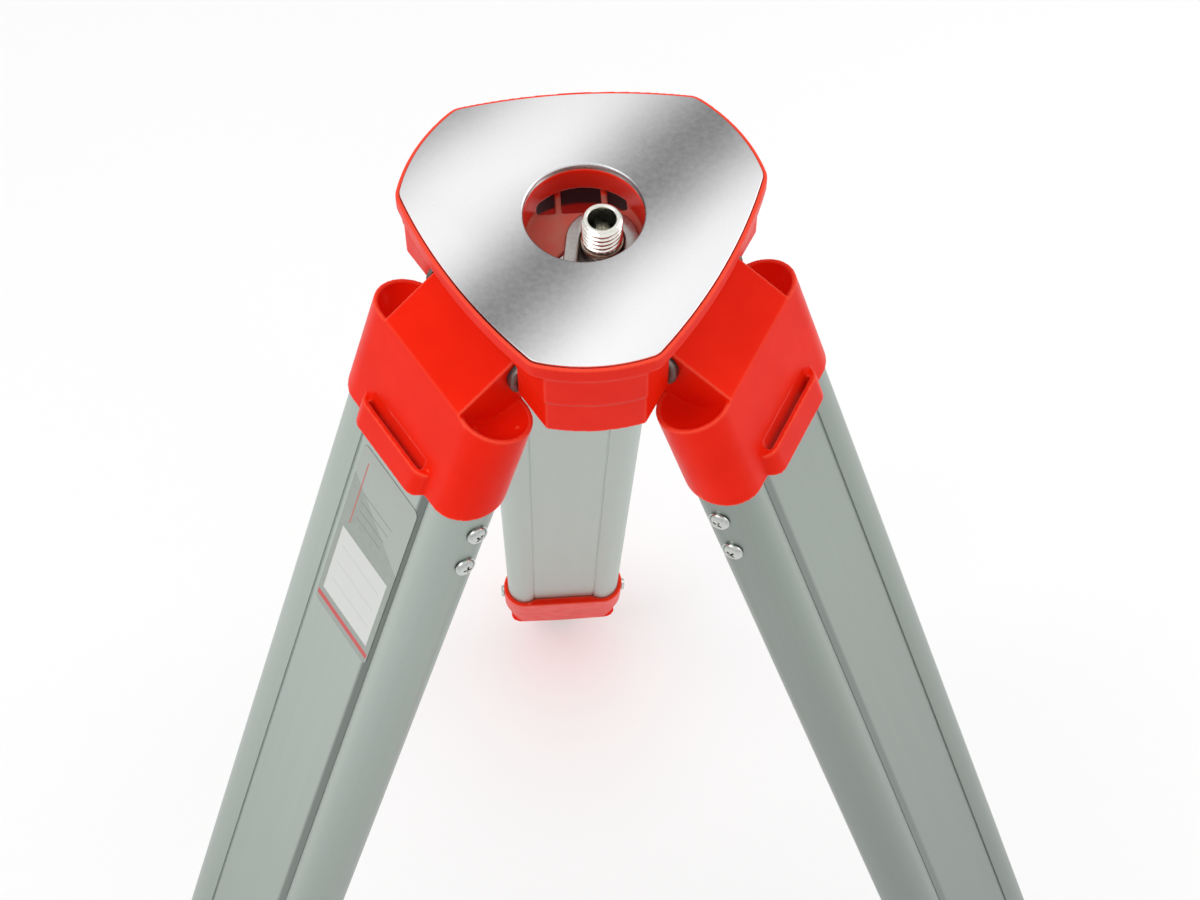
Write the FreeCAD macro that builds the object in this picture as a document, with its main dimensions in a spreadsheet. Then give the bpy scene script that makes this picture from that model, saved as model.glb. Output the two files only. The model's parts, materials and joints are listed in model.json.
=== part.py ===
import FreeCAD, Part
import math
import os
import Sketcher

# Surveyor tripod. Origin: centre of the head plate's hole, on the plate's top face.
# +Z is up, the corner of the head that holds the arm's pivot points along -Y.
# Leg frames: x across the leg, y out of the leg's outer face, z up along the leg.

V3 = FreeCAD.Vector
doc = FreeCAD.newDocument("surveyor_tripod")
sheet = doc.addObject("Spreadsheet::Sheet", "dims")

ROWS = [
    # head plate
    ("plate_thick", 3.0, "head plate thickness"),
    ("plate_corner", 70.3, "head plate corner arc radius"),
    ("plate_side", 57.8, "head plate, centre to the middle of a long side"),
    ("side_bow", 228.0, "radius of the bowed long sides"),
    ("plate_fillet", 7.0, "radius where corner arc and side meet"),
    ("hole_rad", 23.0, "hole for the centring screw"),
    ("hole_chamfer", 0.7, "chamfer of the hole's upper edge"),
    # head body
    ("body_corner", 72.0, "flange corner arc radius"),
    ("body_side", 59.5, "flange, centre to the middle of a long side"),
    ("rim_drop", 0.8, "flange rim below the plate's top"),
    ("flange_depth", 8.0, "underside of the flange below the plate's top"),
    ("seam_depth", 24.0, "parting line of the casting"),
    ("hub_depth", 42.0, "underside of the hub"),
    ("hub_corner", 71.7, "hub corner arc radius"),
    ("hub_flat", 51.0, "hub, centre to a flat side"),
    ("seam_step", 0.5, "lower half of the casting is smaller by this"),
    ("deck_top", 17.6, "deck under the hole, below the plate's top"),
    ("deck_thick", 3.0, "deck thickness"),
    ("cavity_rad", 31.0, "round cavity under the deck"),
    ("window_edge", 13.9, "front edge of the window in the deck"),
    ("window_half", 17.5, "half width of the window"),
    ("window_lip", 14.8, "the ring wall ends here above the window"),
    ("rib_offset", 9.0, "ribs across the window, from the centre"),
    ("rib_width", 2.5, "rib width"),
    # hinges
    ("hinge_out", 45.5, "hinge axis, distance from the head's axis"),
    ("hinge_down", 36.0, "hinge axis below the plate's top"),
    ("bolt_rad", 3.5, "hinge bolt radius"),
    ("run_gap", 0.05, "radial running clearance"),
    ("notch_half", 30.3, "half width of the notch for a knuckle"),
    ("notch_in", 34.0, "inner wall of the notch"),
    ("notch_top", 24.5, "roof of the notch below the plate's top"),
    # centring arm and screw
    ("pivot_front", 46.0, "arm pivot in front of the hole's centre"),
    ("arm_angle", 8.65, "arm swung aside at rest, degrees"),
    ("arm_width", 28.0, "arm width"),
    ("arm_thick", 2.2, "arm thickness"),
    ("arm_reach", 59.6, "arm length from the pivot to its round end"),
    ("slot_half", 8.5, "half width of the arm's slot"),
    ("screw_out", 44.7, "screw from the pivot at rest"),
    ("slot_travel", 11.5, "travel of the screw along the slot"),
    ("thread_rad", 7.9375, "5/8 inch thread, outer radius"),
    ("neck_rad", 6.6, "screw neck radius"),
    ("screw_bore", 5.45, "through bore of the screw"),
    ("screw_top", 2.0, "screw end below the plate's top"),
    ("knob_rad", 19.0, "knob radius"),
    ("knob_top", 46.0, "knob's upper face below the plate's top"),
    ("knob_tall", 22.0, "knob height"),
    # legs
    ("leg_base_out", 52.3, "leg frame origin from the head's axis"),
    ("leg_base_down", 24.0, "leg frame origin below the plate's top"),
    ("leg_spread", 20.0, "leg from the vertical at rest, degrees"),
    ("lobe_pitch", 30.4, "centre of a lobe from the leg's middle"),
    ("lobe_rad", 13.0, "outer radius of a lobe"),
    ("web_half", 10.7, "half thickness of the web"),
    ("wall", 1.8, "wall of the upper extrusion"),
    ("groove_at", 23.2, "groove between web and lobe"),
    ("groove_wide", 0.9, "groove width"),
    ("groove_deep", 1.0, "groove depth"),
    ("tube_start", 38.0, "upper extrusion starts, along the leg"),
    ("tube_end", 1060.0, "upper extrusion ends, along the leg"),
    ("slide_gap", 0.6, "gap between the extrusions"),
    ("low_wall", 1.7, "wall of the lower extrusion"),
    ("low_start", 430.0, "lower extrusion starts, along the leg"),
    ("low_end", 1128.0, "lower extrusion ends, along the leg"),
    # leg cap
    ("cap_rad", 15.0, "cap outside round a lobe"),
    ("cap_top", 25.0, "rim of the lobes, along the leg"),
    ("cap_bottom", 68.0, "lower edge of the cap, along the leg"),
    ("knuckle_half", 26.8, "half width of the knuckle"),
    ("barrel_rad", 9.6, "barrel round the hinge bolt"),
    ("crease_at", 24.5, "crease between roof and outer face"),
    ("dish_rad", 15.5, "sphere that forms the dished lobe"),
    ("spigot_end", 110.0, "spigots inside the extrusion end here"),
    ("bar_half", 24.0, "strap bar half width"),
    ("bar_top", 62.0, "strap bar upper edge, along the leg"),
    ("bar_round", 6.5, "radius of the strap bar's outer corners"),
    ("bar_out", 19.8, "strap bar outer face"),
    ("slot_in", 14.6, "strap slot inner face"),
    ("slot_out", 17.4, "strap slot outer face"),
    ("strap_half", 19.0, "strap slot half length"),
    ("screw_one", 81.5, "upper cap screw, along the leg"),
    ("screw_two", 100.8, "lower cap screw, along the leg"),
    # clamp
    ("house_rad", 16.5, "clamp housing outside round a lobe"),
    ("house_top", 1030.0, "clamp housing upper edge, along the leg"),
    ("house_low", 1080.0, "clamp housing lower edge, along the leg"),
    ("clamp_at", 1070.0, "lever pin, along the leg"),
    ("clamp_out", 25.0, "lever pin out of the leg's middle"),
    ("lever_half", 11.4, "lever half width"),
    ("lever_long", 66.0, "lever length"),
    # foot
    ("foot_rad", 12.6, "foot outside round a lobe"),
    ("foot_top", 1100.0, "foot upper edge, along the leg"),
    ("foot_low", 1158.0, "foot lower end, along the leg"),
    ("spike_tip", 1180.0, "end of the spike, along the leg"),
]
VAL = {}
for n, (alias, value, note) in enumerate(ROWS, start=1):
    sheet.set("A%d" % n, note)
    sheet.set("B%d" % n, repr(value))
    sheet.setAlias("B%d" % n, alias)
    VAL[alias] = value
doc.recompute()


class Q:
    """A length with its value and the sheet expression that gives it."""

    def __init__(self, v, e):
        self.v = float(v)
        self.e = e

    def _mix(self, o, op, flip=False):
        ov, oe = (o.v, o.e) if isinstance(o, Q) else (float(o), repr(float(o)))
        a, ae, b, be = (ov, oe, self.v, self.e) if flip else (self.v, self.e, ov, oe)
        v = {"+": a + b, "-": a - b, "*": a * b}[op] if op != "/" else a / b
        return Q(v, "(%s %s %s)" % (ae, op, be))

    def __add__(self, o):
        return self._mix(o, "+")

    def __radd__(self, o):
        return self._mix(o, "+", True)

    def __sub__(self, o):
        return self._mix(o, "-")

    def __rsub__(self, o):
        return self._mix(o, "-", True)

    def __mul__(self, o):
        return self._mix(o, "*")

    def __rmul__(self, o):
        return self._mix(o, "*", True)

    def __truediv__(self, o):
        return self._mix(o, "/")

    def __neg__(self):
        return Q(-self.v, "(0 - %s)" % self.e)


class Dims:
    def __getattr__(self, name):
        return Q(VAL[name], "dims." + name)


D = Dims()


def num(x):
    return x.v if isinstance(x, Q) else float(x)


def put(obj, prop, x):
    """Set a property, bound to the sheet when the value comes from it."""
    if isinstance(x, Q):
        obj.setExpression(prop, x.e)
    else:
        setattr(obj, prop, x)


def place(obj, pos, axis=None, angle=0.0):
    rot = FreeCAD.Rotation(V3(*axis), angle) if axis else FreeCAD.Rotation()
    obj.Placement = FreeCAD.Placement(V3(*[num(p) for p in pos]), rot)
    for k, p in zip("xyz", pos):
        if isinstance(p, Q):
            obj.setExpression("Placement.Base." + k, p.e)


COUNT = {"n": 0}


def fresh(base):
    COUNT["n"] += 1
    return "%s_%03d" % (base, COUNT["n"])


def box(x0, x1, y0, y1, z0, z1):
    o = doc.addObject("Part::Box", fresh("box"))
    for prop, a, b in (("Length", x0, x1), ("Width", y0, y1), ("Height", z0, z1)):
        d = b - a
        put(o, prop, d if isinstance(d, Q) else float(d))
    place(o, (x0, y0, z0))
    return o


def cyl(r, length, pos, axis="z"):
    o = doc.addObject("Part::Cylinder", fresh("cyl"))
    put(o, "Radius", r if isinstance(r, Q) else float(r))
    put(o, "Height", length if isinstance(length, Q) else float(length))
    turn = {"z": (None, 0), "x": ((0, 1, 0), 90), "y": ((1, 0, 0), -90)}[axis]
    place(o, pos, *turn)
    return o


def cone(r0, r1, length, pos, axis="z"):
    o = doc.addObject("Part::Cone", fresh("cone"))
    put(o, "Radius1", r0 if isinstance(r0, Q) else float(r0))
    put(o, "Radius2", r1 if isinstance(r1, Q) else float(r1))
    put(o, "Height", length if isinstance(length, Q) else float(length))
    turn = {"z": (None, 0), "x": ((0, 1, 0), 90), "y": ((1, 0, 0), -90)}[axis]
    place(o, pos, *turn)
    return o


def fuse(*parts, name=None):
    if len(parts) == 1:
        return parts[0]
    o = doc.addObject("Part::MultiFuse", name or fresh("fuse"))
    o.Shapes = list(parts)
    o.Refine = True
    return o


def common(*parts):
    o = doc.addObject("Part::MultiCommon", fresh("common"))
    o.Shapes = list(parts)
    o.Refine = True
    return o


def cut(base, *tools, name=None):
    o = doc.addObject("Part::Cut", name or fresh("cut"))
    o.Base = base
    o.Tool = fuse(*tools)
    o.Refine = True
    return o


def fillet(base, pick, radius, name=None, kind="Part::Fillet"):
    """Round (or chamfer) the edges of base that pick(edge) accepts."""
    doc.recompute()
    ids = [i for i, e in enumerate(base.Shape.Edges, start=1) if pick(e)]
    if not ids:
        raise RuntimeError("no edge to round on " + base.Name)
    o = doc.addObject(kind, name or fresh("round"))
    o.Base = base
    o.Edges = [(i, num(radius), num(radius)) for i in ids]
    return o


def upright(e, rmin=0.0, rmax=1e9):
    if len(e.Vertexes) != 2:
        return False
    a, b = e.Vertexes[0].Point, e.Vertexes[1].Point
    if abs(a.x - b.x) > 1e-4 or abs(a.y - b.y) > 1e-4:
        return False
    return rmin < math.hypot(a.x, a.y) < rmax


# ---------------------------------------------------------------- sketch bodies
def new_body(label):
    b = doc.addObject("PartDesign::Body", label)
    b.Label = label
    return b


def sketch(b, role="XY_Plane", off=0.0):
    sk = b.newObject("Sketcher::SketchObject", fresh("sketch"))
    plane = [f for f in b.Origin.OriginFeatures if f.Role == role][0]
    sk.AttachmentSupport = [(plane, "")]
    sk.MapMode = "FlatFace"
    if isinstance(off, Q):
        sk.AttachmentOffset = FreeCAD.Placement(V3(0, 0, off.v), FreeCAD.Rotation())
        sk.setExpression("AttachmentOffset.Base.z", off.e)
    elif off:
        sk.AttachmentOffset = FreeCAD.Placement(V3(0, 0, off), FreeCAD.Rotation())
    return sk


def pin_down(sk, geo, point, x, y):
    """Fix a sketch point at (x, y), by expression where the sheet drives it."""
    if abs(num(x)) < 1e-9 and abs(num(y)) < 1e-9:
        sk.addConstraint(Sketcher.Constraint("Coincident", geo, point, -1, 1))
        return
    for kind, line, val in (("DistanceX", -2, x), ("DistanceY", -1, y)):
        if abs(num(val)) < 1e-9:
            sk.addConstraint(Sketcher.Constraint("PointOnObject", geo, point, line))
        else:
            i = sk.addConstraint(Sketcher.Constraint(kind, -1, 1, geo, point, num(val)))
            if isinstance(val, Q):
                sk.setExpression("Constraints[%d]" % i, val.e)


def circle(sk, r, x=0.0, y=0.0):
    g = sk.addGeometry(Part.Circle(V3(num(x), num(y), 0), V3(0, 0, 1), num(r)), False)
    i = sk.addConstraint(Sketcher.Constraint("Radius", g, num(r)))
    if isinstance(r, Q):
        sk.setExpression("Constraints[%d]" % i, r.e)
    pin_down(sk, g, 3, x, y)


def polygon(sk, pts):
    n = len(pts)
    first = None
    for k in range(n):
        a, b = pts[k], pts[(k + 1) % n]
        g = sk.addGeometry(Part.LineSegment(V3(num(a[0]), num(a[1]), 0), V3(num(b[0]), num(b[1]), 0)), False)
        if first is None:
            first = g
        else:
            sk.addConstraint(Sketcher.Constraint("Coincident", g - 1, 2, g, 1))
        pin_down(sk, g, 1, a[0], a[1])
    sk.addConstraint(Sketcher.Constraint("Coincident", first + n - 1, 2, first, 1))


def slot_shape(sk, r, x0, y0, x1, y1):
    """Round-ended slot between two centres that lie on one vertical line."""
    r_, x0_, y0_, x1_, y1_ = [num(k) for k in (r, x0, y0, x1, y1)]
    a = sk.addGeometry(Part.ArcOfCircle(Part.Circle(V3(x1_, y1_, 0), V3(0, 0, 1), r_), 0, math.pi), False)
    b = sk.addGeometry(Part.ArcOfCircle(Part.Circle(V3(x0_, y0_, 0), V3(0, 0, 1), r_), math.pi, 2 * math.pi), False)
    c = sk.addGeometry(Part.LineSegment(V3(x1_ - r_, y1_, 0), V3(x0_ - r_, y0_, 0)), False)
    d = sk.addGeometry(Part.LineSegment(V3(x0_ + r_, y0_, 0), V3(x1_ + r_, y1_, 0)), False)
    for g1, p1, g2, p2 in ((a, 2, c, 1), (c, 2, b, 1), (b, 2, d, 1), (d, 2, a, 1)):
        sk.addConstraint(Sketcher.Constraint("Tangent", g1, p1, g2, p2))
    i = sk.addConstraint(Sketcher.Constraint("Radius", a, r_))
    if isinstance(r, Q):
        sk.setExpression("Constraints[%d]" % i, r.e)
    pin_down(sk, a, 3, x1, y1)
    pin_down(sk, b, 3, x0, y0)


def pad(b, sk, length, down=False):
    f = b.newObject("PartDesign::Pad", fresh("pad"))
    f.Profile = sk
    put(f, "Length", length)
    f.Reversed = down
    b.Tip = f
    sk.Visibility = False
    return f


def pocket(b, sk, length, up=False):
    """Remove material below the sketch, or above it with up=True."""
    f = b.newObject("PartDesign::Pocket", fresh("pocket"))
    f.Profile = sk
    put(f, "Length", length)
    f.Reversed = up
    b.Tip = f
    return f


def spin(b, sk, minus=False, axis="V_Axis"):
    f = b.newObject("PartDesign::Groove" if minus else "PartDesign::Revolution", fresh("turn"))
    f.Profile = sk
    f.ReferenceAxis = (sk, [axis])
    f.Angle = 360.0
    b.Tip = f
    return f


def turned(label, profile, role="XZ_Plane"):
    """A round piece: closed profile of (radius, height) about the sketch's V axis."""
    b = new_body(label)
    spin(b, (lambda s: (polygon(s, profile), s)[1])(sketch(b, role)))
    return b


PARTS = []


def keep(obj, label, placement=None):
    obj.Label = label
    if placement is not None:
        obj.Placement = placement
    PARTS.append((label, obj))
    return obj


# ================================================================ HEAD
def outline(corner, side, z0, z1):
    """Round plate outline: a disc cut back by three large bowed sides."""
    tall = z1 - z0
    discs = [cyl(corner, tall, (0, 0, z0))]
    off = (D.side_bow - side)
    for a in (90, 210, 330):
        c, s = math.cos(math.radians(a)), math.sin(math.radians(a))
        c, s = round(c, 9), round(s, 9)
        discs.append(cyl(D.side_bow, tall, (off * (-c) if abs(c) > 1e-9 else 0.0, off * (-s), z0)))
    return common(*discs)


# --- head plate -------------------------------------------------------------
raw = outline(D.plate_corner, D.plate_side, -D.plate_thick, D.plate_thick * 0)
raw = fillet(raw, lambda e: upright(e, 60), D.plate_fillet)
SCREW_SPOTS = [(27.0, a) for a in (20, 160, 215)]
blind = [cyl(2.05, 2.2, (r * math.cos(math.radians(a)), r * math.sin(math.radians(a)), -D.plate_thick)) for r, a in SCREW_SPOTS]
raw = cut(raw, cyl(D.hole_rad, 20, (0, 0, -10)), *blind)
plate = fillet(raw, lambda e: e.Curve.TypeId == "Part::GeomCircle" and abs(e.Curve.Radius - VAL["hole_rad"]) < 1e-3
               and abs(e.Curve.Center.z) < 1e-4, D.hole_chamfer, kind="Part::Chamfer")
keep(plate, "head_plate")


# --- head body --------------------------------------------------------------
def tri(flat, z0, z1):
    o = doc.addObject("Part::Prism", fresh("prism"))
    o.Polygon = 3
    put(o, "Circumradius", flat * 2.0)
    put(o, "Height", z1 - z0)
    place(o, (0, 0, z0), (0, 0, 1), 30)
    return o


flange = outline(D.body_corner, D.body_side, -D.flange_depth, -D.rim_drop)
flange = fillet(flange, lambda e: upright(e, 60), 7.5)
upper = common(cyl(D.hub_corner, D.seam_depth - D.flange_depth + 0.5, (0, 0, -D.seam_depth)),
               tri(D.hub_flat, -D.seam_depth, -D.flange_depth + 0.5))
lower = common(cyl(D.hub_corner - D.seam_step, D.hub_depth - D.seam_depth, (0, 0, -D.hub_depth)),
               tri(D.hub_flat - D.seam_step, -D.hub_depth, -D.seam_depth))
shell = fuse(flange, upper, lower)
seat = outline(D.plate_corner + 0.15, D.plate_side + 0.15, -D.plate_thick, 2.0 + D.plate_thick * 0)
seat = fillet(seat, lambda e: upright(e, 60), D.plate_fillet)
deck_low = D.deck_top + D.deck_thick
tools = [
    seat,
    cyl(D.hole_rad, D.deck_top, (0, 0, -D.deck_top)),
    cyl(D.cavity_rad, D.hub_depth - deck_low + 2, (0, 0, -D.hub_depth - 2)),
]
# window through the deck and the foot of the ring wall, crossed by two ribs
half_rib = D.rib_width / 2
for x0, x1 in ((-D.window_half, -D.rib_offset - half_rib), (-D.rib_offset + half_rib, D.rib_offset - half_rib), (D.rib_offset + half_rib, D.window_half)):
    tools.append(box(x0, x1, D.window_edge, D.cavity_rad + 1.0, -deck_low - 0.5, -D.window_lip))
tools.append(box(-D.window_half, D.window_half, D.window_edge, D.cavity_rad + 1.0, -D.deck_top, -D.window_lip))


def swung(obj, ang):
    """Turn a tool drawn along +Y from the arm's pivot by ang degrees towards +X."""
    obj.Placement = FreeCAD.Placement(V3(0, -VAL["pivot_front"], 0), FreeCAD.Rotation(V3(0, 0, 1), -ang)).multiply(obj.Placement)
    return obj


# room for the swinging arm inside the front corner, and the opening under it
tools.append(cyl(14.6, 5.2, (0, -D.pivot_front, -D.deck_top)))
for ang in (0.0, 5.7, 11.4):
    room = box(-14.6, 14.6, 0.0, 44.0, 0.0, 5.2)
    room.Placement = FreeCAD.Placement(V3(-14.6, 0, -VAL["deck_top"]), FreeCAD.Rotation())
    tools.append(swung(room, ang))
tools.append(cyl(13.5, D.deck_thick + 1, (0, -15.5, -deck_low - 0.5)))
neck_way = D.neck_rad + 0.5
for ang in (0.2, 3.9, 7.6, 11.3):
    a = math.radians(ang)
    tools.append(cyl(neck_way, D.deck_thick + 1, (44.9 * math.sin(a), 44.9 * math.cos(a) - D.pivot_front, -deck_low - 0.5)))
    tools.append(cyl(neck_way, D.deck_thick + 1, (31.5 * math.sin(a), 31.5 * math.cos(a) - D.pivot_front, -deck_low - 0.5)))
    way = box(0.0, 14.2, 0.0, 13.4, 0.0, D.deck_thick + 1)
    way.Placement = FreeCAD.Placement(V3(-7.1, 31.5, -deck_low.v - 0.5), FreeCAD.Rotation())
    tools.append(swung(way, ang))
# arm pivot hole through the deck, nut space below it
tools.append(cyl(3.05, 14, (0, -D.pivot_front, -deck_low - 8)))
tools.append(cyl(7.0, D.hub_depth - deck_low - 1, (0, -D.pivot_front, -D.hub_depth - 1)))
# plate screws
for r, a in SCREW_SPOTS:
    tools.append(cyl(2.2, 20, (r * math.cos(math.radians(a)), r * math.sin(math.radians(a)), -21.5)))
casting = cut(shell, *tools)
# knuckle notches and hinge bolt bores, one per leg
HEAD_SIDE = {90: 1, 210: 1, 330: -1}


def about(obj, phi):
    """Turn a tool drawn for the rear leg to the leg at azimuth phi."""
    obj.Placement = FreeCAD.Placement(V3(0, 0, 0), FreeCAD.Rotation(V3(0, 0, 1), phi - 90))
    return obj


hinge_tools = []
for phi in (90, 210, 330):
    side = HEAD_SIDE[phi]
    notch = box(-D.notch_half, D.notch_half, D.notch_in, 75.0, -D.hub_depth - 1, -D.notch_top)
    bore = cyl(D.bolt_rad + D.run_gap, 107.0, (-47.0 if side > 0 else -60.0, D.hinge_out, -D.hinge_down), "x")
    hinge_tools.append(about(fuse(notch, bore), phi))
casting = cut(casting, *hinge_tools)
keep(casting, "head_body")

# --- plate screws -------------------------------------------------------------
screws = []
for r, a in SCREW_SPOTS:
    x, y = r * math.cos(math.radians(a)), r * math.sin(math.radians(a))
    screws.append(fuse(cyl(2.0, 19.6, (x, y, -20.6)), cyl(3.5, 2.4, (x, y, -23.0))))
keep(fuse(*screws), "plate_screws")

# --- hinge bolts and washers ---------------------------------------------------
bolts, washers = [], []
for phi in (90, 210, 330):
    side = HEAD_SIDE[phi]
    shank = cyl(D.bolt_rad, 96.5, (-46.5 if side > 0 else -50.0, D.hinge_out, -D.hinge_down), "x")
    key = doc.addObject("Part::Prism", fresh("key"))
    key.Polygon = 6
    key.Circumradius = 2.3
    key.Height = 6.0
    place(key, (45.0 if side > 0 else -51.0, D.hinge_out, -D.hinge_down), (0, 1, 0), 90)
    bolts.append(about(cut(shank, key), phi))
    for s in (1, -1):
        x0 = 28.2 if s > 0 else -30.2
        w = cut(cyl(8.0, 2.0, (x0, D.hinge_out, -D.hinge_down), "x"),
                cyl(D.bolt_rad + D.run_gap, 4.0, (x0 - 1, D.hinge_out, -D.hinge_down), "x"))
        washers.append(about(w, phi))
keep(fuse(*bolts), "hinge_bolts")
keep(fuse(*washers), "hinge_washers")

# --- swing arm ------------------------------------------------------------------
# drawn pointing along +Y from its pivot, then turned to its rest angle
ARM_ROT = FreeCAD.Rotation(V3(0, 0, 1), -VAL["arm_angle"])
arm_under = -VAL["deck_top"] + 0.1
arm_place = FreeCAD.Placement(V3(0, -VAL["pivot_front"], arm_under), ARM_ROT)
b = new_body("swing_arm")
sk = sketch(b)
w2 = D.arm_width / 2
slot_shape(sk, w2, 0.0, 0.0, 0.0, D.arm_reach - w2)
pad(b, sk, D.arm_thick)
sk = sketch(b, off=D.arm_thick)
slot_shape(sk, D.slot_half, 0.0, D.screw_out - D.slot_travel - 0.35, 0.0, D.screw_out + 0.35)
circle(sk, 3.3, 0.0, 0.0)
pocket(b, sk, D.arm_thick)
keep(b, "swing_arm", arm_place)

# --- arm pivot: shoulder screw, washer, nut -----------------------------------------
zt = D.arm_thick + 0.1
b = turned("arm_pivot", [(0, -12.5), (2.5, -12.5), (3.0, -12.0), (3.0, zt + 0.9), (7.5, zt + 0.9), (7.5, zt + 1.9), (6.2, zt + 2.7), (0, zt + 2.7)])
keep(b, "arm_pivot", FreeCAD.Placement(V3(0, -VAL["pivot_front"], arm_under), FreeCAD.Rotation()))
b = turned("arm_pivot_washer", [(3.3, zt), (8.5, zt), (8.5, zt + 0.8), (3.3, zt + 0.8)])
keep(b, "arm_pivot_washer", FreeCAD.Placement(V3(0, -VAL["pivot_front"], arm_under), FreeCAD.Rotation()))
b = new_body("arm_pivot_nut")
sk = sketch(b)
hexa = [(5.6 * math.cos(math.radians(60 * k)), 5.6 * math.sin(math.radians(60 * k))) for k in range(6)]
polygon(sk, hexa)
circle(sk, 3.02)
pad(b, sk, 5.0, down=True)
keep(b, "arm_pivot_nut", FreeCAD.Placement(V3(0, -VAL["pivot_front"], arm_under - 5.15), FreeCAD.Rotation()))

# --- centring screw, bush, washer, knob ---------------------------------------------
ang = math.radians(VAL["arm_angle"])
SX, SY = VAL["screw_out"] * math.sin(ang), VAL["screw_out"] * math.cos(ang) - VAL["pivot_front"]
screw_place = FreeCAD.Placement(V3(SX, SY, 0), ARM_ROT)
arm_top = D.deck_top - 0.1 - D.arm_thick
b = turned("centring_screw", [
    (D.screw_bore + 0.5, -D.screw_top), (D.thread_rad - 1.1, -D.screw_top), (D.thread_rad, -D.screw_top - 1.1),
    (D.thread_rad, -arm_top + 0.15), (D.neck_rad, -arm_top + 0.15),
    (D.neck_rad, -D.knob_top - D.knob_tall + 3.0), (D.screw_bore, -D.knob_top - D.knob_tall + 3.0), (D.screw_bore, -D.screw_top - 0.5)])
keep(b, "centring_screw", screw_place)
b = turned("slide_bush", [
    (D.neck_rad + D.run_gap, -arm_top + 0.05), (D.slot_half - 0.3, -arm_top + 0.05),
    (D.slot_half - 0.3, -D.deck_top + 0.15), (D.neck_rad + D.run_gap, -D.deck_top + 0.15)])
keep(b, "slide_bush", screw_place)
wz = D.deck_top + D.deck_thick + 0.2
b = turned("knob_washer", [
    (D.neck_rad + D.run_gap, -wz), (11.0, -wz), (11.0, -wz - 1.5), (D.neck_rad + D.run_gap, -wz - 1.5)])
keep(b, "knob_washer", screw_place)
kb = D.knob_top + D.knob_tall
b = turned("centring_knob", [
    (D.neck_rad, -wz - 1.7), (9.4, -wz - 1.7), (10.2, -wz - 2.5), (10.2, -D.knob_top - 1.5), (D.knob_rad - 2.5, -D.knob_top),
    (D.knob_rad, -D.knob_top - 2.5), (D.knob_rad, -kb + 3.0), (D.knob_rad - 3.0, -kb), (8.2, -kb), (8.2, -kb + 3.0), (D.neck_rad, -kb + 3.0)])
sk = sketch(b, off=-kb - 1.0)
circle(sk, 3.2, D.knob_rad + 1.1, 0.0)
pk = pocket(b, sk, D.knob_tall + 4.0, up=True)
doc.recompute()
pat = b.newObject("PartDesign::PolarPattern", "grip_flutes")
pat.Originals = [pk]
pat.Axis = (sk, ["N_Axis"])
pat.Angle = 360.0
pat.Occurrences = 9
b.Tip = pat
doc.recompute()
sk = sketch(b, "YZ_Plane")
circle(sk, 2.03, 0.0, -D.knob_top + 9.0)
pocket(b, sk, 14.0, up=True)
keep(b, "centring_knob", screw_place)
set_z = -VAL["knob_top"] + 9.0
grub = cut(cyl(2.0, 3.4, (6.65, 0, set_z), "x"), box(9.2, 10.6, -2.5, 2.5, set_z - 0.3, set_z + 0.3))
keep(grub, "knob_set_screw", screw_place)


# ================================================================ LEGS
def leg_placement(phi):
    turn = FreeCAD.Rotation(V3(0, 0, 1), phi - 90)
    tilt = FreeCAD.Rotation(V3(1, 0, 0), VAL["leg_spread"])
    base = turn.multVec(V3(0, VAL["leg_base_out"], -VAL["leg_base_down"]))
    return FreeCAD.Placement(base, turn.multiply(tilt))


def bone(lobe, web, s0, s1, pitch=None):
    """Dog-bone bar between two stations along the leg."""
    pitch = pitch or D.lobe_pitch
    tall = s1 - s0
    return fuse(cyl(lobe, tall, (pitch, 0, -s1)), cyl(lobe, tall, (-pitch, 0, -s1)),
                box(-pitch, pitch, -web, web, -s1, -s0))


# hinge axis in the leg frame
_a = math.radians(VAL["leg_spread"])
_dr, _dz = VAL["hinge_out"] - VAL["leg_base_out"], -VAL["hinge_down"] + VAL["leg_base_down"]
HY = _dr * math.cos(_a) + _dz * math.sin(_a)
HZ = -(_dr * math.sin(_a) - _dz * math.cos(_a))


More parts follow.
